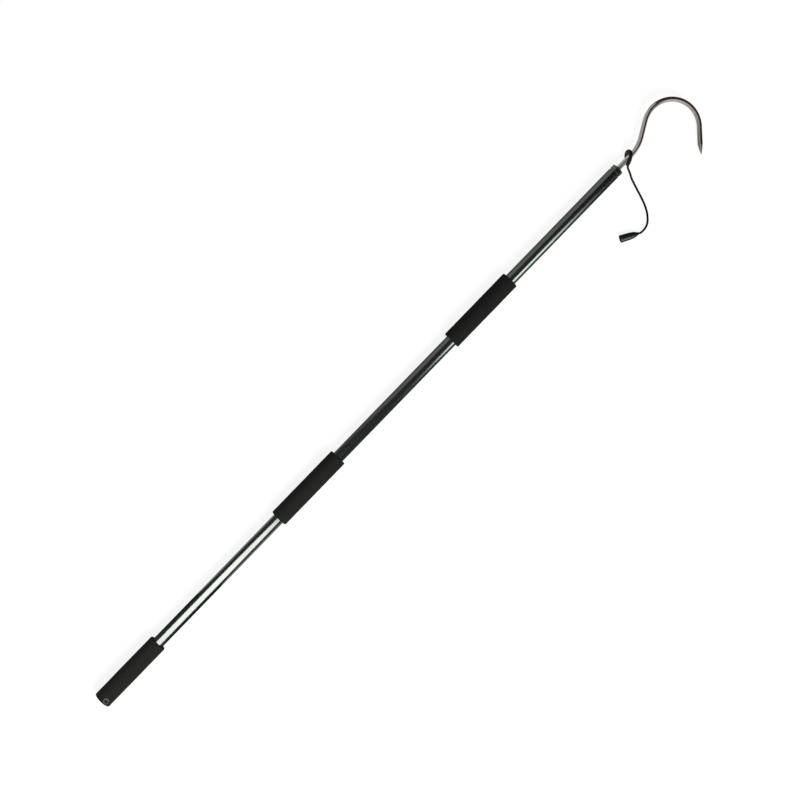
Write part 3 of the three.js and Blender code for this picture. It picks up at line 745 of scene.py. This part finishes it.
def tube():
    """Drawn tube, turned about X: an outer wall with broken end edges, and a plain bore."""
    bore = POLE_RADIUS - TUBE_WALL
    outline = profile(
        (tube_low.x, POLE_RADIUS - END_BREAK),
        (tube_low.x + END_BREAK, POLE_RADIUS),
        (tube_high.x - END_BREAK, POLE_RADIUS),
        (tube_high.x, POLE_RADIUS - END_BREAK),
        (tube_high.x, bore),
        (tube_low.x, bore),
    )
    closed = np.vstack([outline, outline[:1]])
    grid = revolved(dense(closed, TUBE_STEP)[:-1], TUBE_SIDES)
    return mesh_piece("tube", grid, ANODISED, loop=True)


def foam_lumps(x, turn, seed):
    """Unevenness of extruded foam, from 0 to 1: a sum of waves along and round the sleeve, each
    with a whole number of turns round it and a seeded phase. Long waves weigh more."""
    draw = np.random.default_rng(seed)
    total = np.zeros(np.broadcast(x, turn).shape)
    for _ in range(FOAM_WAVES):
        along = draw.uniform(-FOAM_WAVE_RATE, FOAM_WAVE_RATE)
        round_count = draw.integers(-FOAM_ROUND_WAVES, FOAM_ROUND_WAVES + 1)
        weight = 1 / (1 + abs(along) / FOAM_LONG_RATE + abs(round_count) / FOAM_FEW_ROUND)
        total += weight * np.cos(along * x + round_count * turn + draw.uniform(0, 2 * np.pi))
    return np.clip(0.5 + total / FOAM_WAVE_SUM, 0, 1)


def rivet_direction():
    """The rivet's axis: straight up, turned towards the point's side."""
    return np.array([0, -math.sin(RIVET_TURN), math.cos(RIVET_TURN)])


def grip(name, low, high, seed, riveted=False):
    """Foam sleeve: rounded ends and a plain bore, turned about X, with the outer skin drawn in by
    the foam's unevenness and, where it is riveted, pressed down flat under the rivet's head."""
    inner = POLE_RADIUS + SEAT_GAP
    edge = GRIP_EDGE_RADIUS
    outline = profile(
        (low.x, inner + GRIP_BORE_BREAK),
        arc((low.x + edge, GRIP_RADIUS - edge), edge, -90, 0, steps=9),
        arc((high.x - edge, GRIP_RADIUS - edge), edge, 0, 90, steps=9),
        (high.x, inner + GRIP_BORE_BREAK),
        (high.x - GRIP_BORE_BREAK, inner),
        (low.x + GRIP_BORE_BREAK, inner),
    )
    closed = np.vstack([outline, outline[:1]])
    grid = revolved(dense(closed, GRIP_STEP)[:-1], GRIP_SIDES)
    x = grid[..., 0]
    out = np.hypot(grid[..., 1], grid[..., 2])
    turn = np.arctan2(grid[..., 2], grid[..., 1])
    skin = np.clip((out - inner) / (GRIP_RADIUS - inner), 0, 1)
    fall = FOAM_UNEVENNESS * foam_lumps(x, turn, seed) * skin
    shrunk = (out - fall) / out
    grid[..., 1] *= shrunk
    grid[..., 2] *= shrunk
    if riveted:
        axis = rivet_direction()
        from_centre = grid - (RIVET_FROM_BUTT, 0, 0)
        height = from_centre @ axis
        away = np.linalg.norm(from_centre - height[..., None] * axis, axis=-1)
        press = 1 - ease((away - RIVET_HEAD_RADIUS) / RIVET_DIMPLE_REACH)
        seat = GRIP_RADIUS - RIVET_SEAT_DEPTH - SEAT_GAP / 2
        grid += ((np.minimum(height, seat) - height) * press)[..., None] * axis
    return mesh_piece(name, grid, FOAM, loop=True, sharp_degrees=60)


def closure():
    """Nylon butt plug, turned about X: a flange that closes the tube, and a spigot inside it."""
    spigot = POLE_RADIUS - TUBE_WALL - SEAT_GAP
    edge = BUTT_FACE_BREAK
    end = closure_high.x
    outline = profile(
        (0, PLUG_HUB_RADIUS),
        (0, POLE_RADIUS - edge),
        arc((edge, POLE_RADIUS - edge), edge, -90, 0, steps=5)[1:],
        (BUTT_FLANGE, POLE_RADIUS),
        (BUTT_FLANGE, spigot),
        (end - SPIGOT_LEAD, spigot),
        (end, spigot - SPIGOT_LEAD),
        (end, PLUG_HUB_RADIUS),
    )
    grid = revolved(dense(outline, PLUG_STEP), PLUG_SIDES)
    return mesh_piece("butt_closure", grid, SCUFFED_NYLON)


def rivet():
    """Blind rivet: body, flat underside, rim, a dome that is a quarter of an ellipse, a dish in its
    middle, and the hollow left by its mandrel, turned about the rivet's own axis."""
    seat = GRIP_RADIUS - RIVET_SEAT_DEPTH
    top = seat + RIVET_HEAD_HEIGHT
    angle = np.linspace(0, np.pi / 2, RIVET_DOME_STEPS)
    dome_height = RIVET_HEAD_HEIGHT - RIVET_RIM_HEIGHT
    dome = np.stack([
        seat + RIVET_RIM_HEIGHT + dome_height * np.sin(angle),
        RIVET_DISH_RADIUS + (RIVET_HEAD_RADIUS - RIVET_DISH_RADIUS) * np.cos(angle),
    ], -1)
    outline = profile(
        (RIVET_TIP_PLACE, RIVET_HUB_RADIUS),
        (RIVET_TIP_PLACE, RIVET_BODY_RADIUS),
        (seat, RIVET_BODY_RADIUS),
        (seat, RIVET_HEAD_RADIUS),
        dome,
        (top - RIVET_DISH_DEPTH, RIVET_BORE_RADIUS),
        (top - RIVET_BORE_DEPTH, RIVET_BORE_RADIUS),
        (top - RIVET_BORE_DEPTH, RIVET_HUB_RADIUS),
    )
    grid = turned_to(revolved(outline, RIVET_SIDES), rivet_direction(), (RIVET_FROM_BUTT, 0, 0))
    return mesh_piece("rivet", grid, ALLOY)


def collar():
    """Nylon head plug, turned about X: a spigot, a groove, and a collar with a rounded edge. Its
    front falls away with the square of the distance from the hook's shank."""
    spigot = POLE_RADIUS - TUBE_WALL - SEAT_GAP
    back = POLE_LENGTH - COLLAR_LENGTH
    shank = WIRE_RADIUS + SEAT_GAP
    floor = back - SHANK_ANCHOR - SEAT_GAP
    edge = COLLAR_EDGE_RADIUS
    groove = POLE_RADIUS - COLLAR_GROOVE_DEPTH
    edge_centre = POLE_LENGTH - COLLAR_CROWN - edge
    front = np.linspace(0, 1, COLLAR_CROWN_STEPS)[1:]
    face_out = POLE_RADIUS - edge
    crown = np.stack([
        POLE_LENGTH - COLLAR_CROWN * (1 - front) ** 2,
        face_out + (shank - face_out) * front,
    ], -1)
    outline = profile(
        (head_low.x, PLUG_HUB_RADIUS),
        (head_low.x, spigot - SPIGOT_LEAD),
        (head_low.x + SPIGOT_LEAD, spigot),
        (back, spigot),
        (back, groove),
        (back + COLLAR_GROOVE_WIDTH, groove),
        (back + COLLAR_GROOVE_WIDTH, POLE_RADIUS - END_BREAK),
        (back + COLLAR_GROOVE_WIDTH + END_BREAK, POLE_RADIUS),
        arc((edge_centre, POLE_RADIUS - edge), edge, 0, 90, steps=10),
        crown,
        (floor, shank),
        (floor, PLUG_HUB_RADIUS),
    )
    return mesh_piece("head_collar", revolved(dense(outline, PLUG_STEP), COLLAR_SIDES), NYLON)


def hook():
    """Bent wire. Its heading turns at a steady rate over each bend and not at all between them, and
    the centre line is the running sum of the heading. Along the ground point the radius falls with
    a power of the way, down to a small round tip, and the centre line moves out with its square.
    The whole is rolled about the pole until the foot of the point touches the floor."""
    runs = np.array([
        (SHANK_ANCHOR + COLLAR_LENGTH + SHANK_REACH, 0),
        (OFFSET_BEND_RADIUS * OFFSET_BEND, -OFFSET_BEND),
        (OFFSET_RUN, 0),
        (CROWN_RADIUS * CROWN_BEND, CROWN_BEND),
        (POINT_LEG, 0),
        (POINT_GRIND, 0),
    ])
    knots = np.concatenate([[0], np.cumsum(runs[:, 0])])
    headings = np.concatenate([[0], np.cumsum(runs[:, 1])])
    reach = np.linspace(0, knots[-1], WIRE_STEPS)
    heading = np.interp(reach, knots, headings)
    halfway = np.interp((reach[:-1] + reach[1:]) / 2, knots, headings)
    moves = np.stack([np.cos(halfway), -np.sin(halfway)], -1) * np.diff(reach)[:, None]
    line = np.vstack([[0, 0], np.cumsum(moves, axis=0)])
    ground = np.clip((reach - knots[-2]) / POINT_GRIND, 0, 1)
    radius = POINT_TIP_RADIUS + (WIRE_RADIUS - POINT_TIP_RADIUS) * (1 - ground ** POINT_GRIND_POWER)
    tip_left = (knots[-1] - reach) / POINT_TIP_RADIUS
    area = 1 - (1 - np.clip(tip_left, 0, 1)) ** 2
    radius *= np.sqrt(np.clip(area, POINT_END_AREA_SHARE, 1))
    outward = np.stack([np.sin(heading), np.cos(heading)], -1)
    line += outward * (POINT_TIP_SHIFT * ground ** 2)[:, None]
    foot = line[np.searchsorted(reach, knots[-2])]
    roll = math.asin((GRIP_RADIUS - WIRE_RADIUS) / -foot[1])
    start = POLE_LENGTH - COLLAR_LENGTH - SHANK_ANCHOR
    flat_y = np.array([0, math.cos(roll), math.sin(roll)])
    flat_z = np.array([0, -math.sin(roll), math.cos(roll)])
    path = (start + line[:, :1]) * (1, 0, 0) + line[:, 1:] * flat_y
    across = outward[:, :1] * (1, 0, 0) + outward[:, 1:] * flat_y
    up = np.broadcast_to(flat_z, path.shape)
    grid = carried(path, across, up, radius, WIRE_SIDES)
    turn = np.linspace(0, 2 * np.pi, WIRE_SIDES, endpoint=False)
    straight = np.stack([
        np.repeat(reach[:, None], WIRE_SIDES, 1),
        radius[:, None] * np.cos(turn),
        radius[:, None] * np.sin(turn),
    ], -1)
    return mesh_piece("hook_wire", grid, STAINLESS, straight=straight, sharp_degrees=60)


fit(tube(), "gaff", "anodised_tube", "pole_tube")
butt_grip = grip("butt_grip", butt_grip_low, butt_grip_high, seed=3, riveted=True)
fit(butt_grip, "gaff", "grip_foam", "grip_butt")
middle_grip = grip("middle_grip", middle_grip_low, middle_grip_high, seed=5)
fit(middle_grip, "gaff", "grip_foam", "grip_middle")
upper_grip = grip("upper_grip", upper_grip_low, upper_grip_high, seed=8)
fit(upper_grip, "gaff", "grip_foam", "grip_upper")
fit(closure(), "gaff", "plug_nylon", "butt_plug")
fit(rivet(), "gaff", "rivet_alloy", "butt_rivet")
fit(collar(), "gaff", "plug_nylon", "head_plug")
fit(hook(), "gaff", "hook_steel", "hook")

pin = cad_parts["shank_pin"]
pin.data.materials.clear()
pin.data.materials.append(PIN_STEEL)


# Studio: a white floor and surround, one broad lamp, and cards that only reflections see

AMBIENT = 0.38
FLOOR_SIZE = 40.0
FLOOR_OWN_WHITE = 0.84
LAMP_PLACE = (0.30, -1.5, 1.7)
LAMP_SIZE = (1.6, 1.1)
LAMP_POWER = 38.0
CARD_LIFT = 0.6 * MM
CARD_TURN_STEPS = 33
CARD_OUT_STEPS = 9
RING_STEPS = 41
CEILING_DISTANCE = 1.6
LEFT_FLAG_DISTANCE = 1.5
HEAD_FLAG_DISTANCE = 1.7
BUTT_SOFTBOX_DISTANCE = 0.6
HEAD_SOFTBOX_DISTANCE = 0.7
SCREEN_REACH = (0.05, 1.45)
STRIP_REACH = (0.018, 0.5)
BEND_CENTRE = (1.2424, -0.0160)


def white_ray(tree):
    """1 for rays that should see the white surround: the camera's, and those in metal and glass."""
    path = add(tree, "ShaderNodeLightPath")
    camera_or_gloss = add(tree, "ShaderNodeMath", {
        0: path.outputs["Is Camera Ray"], 1: path.outputs["Is Glossy Ray"],
    }, operation="MAXIMUM")
    either = add(tree, "ShaderNodeMath", {
        0: camera_or_gloss.outputs[0], 1: path.outputs["Is Transmission Ray"],
    }, operation="MAXIMUM")
    return either.outputs[0]


def white_world():
    """White to the camera and in reflections, and a plain level of light otherwise."""
    world = bpy.data.worlds.new("surround")
    world.use_nodes = True
    tree = world.node_tree
    tree.nodes.clear()
    level = add(tree, "ShaderNodeMapRange", {0: white_ray(tree), 3: AMBIENT, 4: 1.0})
    light = add(tree, "ShaderNodeBackground", {
        "Color": linear("#ffffff"), "Strength": level.outputs[0],
    })
    add(tree, "ShaderNodeOutputWorld", {"Surface": light.outputs[0]})
    bpy.context.scene.world = world


def white_floor():
    """Matt white floor that takes the gaff's shadow, lifted to white for the camera."""
    material, tree = new_material("floor_paper")
    matt = add(tree, "ShaderNodeBsdfDiffuse", {"Color": linear("#8c8c8c")})
    own = add(tree, "ShaderNodeMath", {
        0: white_ray(tree), 1: FLOOR_OWN_WHITE,
    }, operation="MULTIPLY")
    glow = add(tree, "ShaderNodeEmission", {
        "Color": linear("#ffffff"), "Strength": own.outputs[0],
    })
    both = add(tree, "ShaderNodeAddShader", {0: matt.outputs[0], 1: glow.outputs[0]})
    add(tree, "ShaderNodeOutputMaterial", {"Surface": both.outputs[0]})
    half = FLOOR_SIZE / 2
    mesh = bpy.data.meshes.new("floor")
    corners = [(-half, -half), (half, -half), (half, half), (-half, half)]
    mesh.from_pydata([(x, y, FLOOR_Z) for x, y in corners], [], [(0, 1, 2, 3)])
    mesh.materials.append(material)
    floor = bpy.data.objects.new("floor", mesh)
    bpy.context.scene.collection.objects.link(floor)


def card(name, level, grid, colour="#ffffff"):
    """A card of an even brightness over a grid of points, seen only in reflections."""
    rows, columns = grid.shape[:2]
    index = np.arange(rows * columns).reshape(rows, columns)
    quads = np.stack([index[:-1, :-1], index[:-1, 1:], index[1:, 1:], index[1:, :-1]], -1)
    mesh = bpy.data.meshes.new(name)
    mesh.from_pydata(grid.reshape(-1, 3), [], quads.reshape(-1, 4).tolist())
    material, tree = new_material(name)
    glow = add(tree, "ShaderNodeEmission", {"Color": linear(colour), "Strength": level})
    add(tree, "ShaderNodeOutputMaterial", {"Surface": glow.outputs[0]})
    mesh.materials.append(material)
    made = bpy.data.objects.new(name, mesh)
    bpy.context.scene.collection.objects.link(made)
    made.visible_camera = False
    made.visible_diffuse = False
    made.visible_transmission = False
    made.visible_shadow = False


def arched(distance, stations):
    """Grid of a card bent round the pole's axis. Each station gives a place along the pole and the
    two angles, from straight up towards the point's side, between which the card shows there. The
    camera stands over one place, so the card is spread along X by its distance over the camera's
    height."""
    x, low, high = np.asarray(stations, float).T
    spread = x + (x - CAMERA_PLACE[0]) * distance / CAMERA_PLACE[2]
    share = np.linspace(0, 1, CARD_TURN_STEPS)
    angle = np.radians(low[:, None] + (high - low)[:, None] * share)
    along = np.repeat(spread[:, None], len(share), 1)
    return np.stack([along, -distance * np.sin(angle), distance * np.cos(angle)], -1)


def standing(place, low, high, inner, outer):
    """Grid of a card that stands across the pole at one place, between two angles from straight up
    and two distances from the axis. It leans as the camera's own view of that place does, so that
    the pole shows nothing of it."""
    angle = np.radians(np.linspace(low, high, CARD_TURN_STEPS))[:, None]
    distance = np.linspace(inner, outer, CARD_OUT_STEPS)
    spread = place + (place - CAMERA_PLACE[0]) * distance / CAMERA_PLACE[2]
    along = np.broadcast_to(spread, (len(angle), len(distance)))
    return np.stack([along, -distance * np.sin(angle), distance * np.cos(angle)], -1)


def laid(start, end, side):
    """Grid of a card that lies on the floor beside the pole, from one place along it to another.
    The side is 1 for the point's side and -1 for the other."""
    near, far = sorted(side * reach for reach in STRIP_REACH)
    share = np.linspace(0, 1, CARD_OUT_STEPS)
    along, aside = np.meshgrid((start, end), near + (far - near) * share, indexing="ij")
    return np.stack([along, -aside, np.full_like(aside, FLOOR_Z + CARD_LIFT)], -1)


def round_hook(inner, outer, start_degrees, end_degrees):
    """Grid of a card that lies on the floor as part of a ring about the middle of the hook's
    bend."""
    angle = np.radians(np.linspace(start_degrees, end_degrees, RING_STEPS))[:, None]
    radius = np.array([inner, outer])
    along = BEND_CENTRE[0] + radius * np.cos(angle)
    aside = BEND_CENTRE[1] + radius * np.sin(angle)
    return np.stack([along, aside, np.full_like(aside, FLOOR_Z + CARD_LIFT)], -1)


def lamp():
    """Broad lamp on the point's side, aimed at the pole. Its own reflection is left to the
    cards."""
    data = bpy.data.lights.new("softbox", "AREA")
    data.shape = "RECTANGLE"
    data.size, data.size_y = LAMP_SIZE
    data.energy = LAMP_POWER
    made = bpy.data.objects.new("softbox", data)
    made.location = LAMP_PLACE
    aim = math.atan2(-LAMP_PLACE[1], LAMP_PLACE[2])
    made.rotation_euler = (aim, 0, 0)
    made.visible_camera = False
    made.visible_glossy = False
    bpy.context.scene.collection.objects.link(made)


white_world()
white_floor()
lamp()

# Dim cards overhead keep the tube's middle dark
card("ceiling", 0.17, arched(CEILING_DISTANCE, (
    (-0.6, -34, 112),
    (0.64, -34, 112),
    (0.88, -31, 112),
)), "#eef4ee")
card("head_ceiling", 0.205, arched(CEILING_DISTANCE, (
    (0.88, -31, 112),
    (1.04, -28, 112),
)), "#daffe4")
card("ceiling_end", 0.17, arched(CEILING_DISTANCE, (
    (1.04, -28, 112),
    (1.065, -28, 112),
)), "#eef4ee")

# Dim cards at the left keep the tube's left side dark as far as its middle stretch
card("butt_left_flag", 0.175, arched(LEFT_FLAG_DISTANCE, (
    (-0.6, -120, -30),
    (0.40, -120, -30),
)), "#deffe2")
card("left_flag", 0.13, arched(LEFT_FLAG_DISTANCE, (
    (0.40, -120, -30),
    (0.53, -120, -30),
    (0.58, -80, -30),
    (0.645, -34, -30),
)))

# Dark card over the tube's end and beyond the head, which gives the wire its dark line
card("head_flag", 0.06, arched(HEAD_FLAG_DISTANCE, (
    (1.06, -28, 112),
    (1.1395, -28, 112),
    (1.1405, -28, 60),
    (1.38, -28, 60),
    (1.42, -120, 120),
    (3.5, -120, 120),
)))

# Bright cards give the tube its long highlights at the butt and at the head
card("butt_softbox", 10.5, arched(BUTT_SOFTBOX_DISTANCE, (
    (0.09, -31, 58),
    (0.29, -29, 57),
    (0.34, -22, 51),
    (0.40, -7, 43),
)), "#f7fff7")
card("head_softbox", 8.6, arched(HEAD_SOFTBOX_DISTANCE, (
    (0.73, 60, 70),
    (0.77, 44, 82),
    (1.00, 44, 82),
)), "#f0fff5")
card("softbox_fade", 4.2, arched(HEAD_SOFTBOX_DISTANCE, (
    (1.00, 44, 82),
    (1.04, 46, 80),
)), "#eefff8")
card("softbox_tail", 0.6, arched(HEAD_SOFTBOX_DISTANCE, (
    (1.04, 46, 80),
    (1.08, 50, 76),
)), "#e6fff6")

# Screens just beyond the collar are bright towards the hook, and dark towards the tube's end
card("hook_screen", 0.8, standing(1.1415, -100, 100, *SCREEN_REACH))
card("screen_light", 1.25, standing(1.1425, 33, 75, 0.15, 0.7))
card("screen_back", 0.06, standing(1.1395, -30, 100, *SCREEN_REACH))

# Cards on the floor set how light the two edges of the tube and the wire are
card("butt_left_strip", 0.0, laid(0.10, 0.215, -1))
card("butt_right_strip", 0.0, laid(0.10, 0.25, 1))
card("left_strip", 0.46, laid(0.5, 1.14, -1))
card("right_strip", 0.3, laid(0.5, 1.075, 1), "#c8ebdf")
card("collar_strip", 0.14, laid(1.075, 1.15, 1), "#c2e6d6")

# A dark wall past the hook and a dark card round its bend keep the crown's rims dark
card("far_wall", 0.03, standing(2.4, -100, 100, 0.0, 3.0))
card("hook_strip", 0.03, round_hook(0.055, 0.5, -90, 90))

bpy.context.scene.view_settings.view_transform = "Standard"
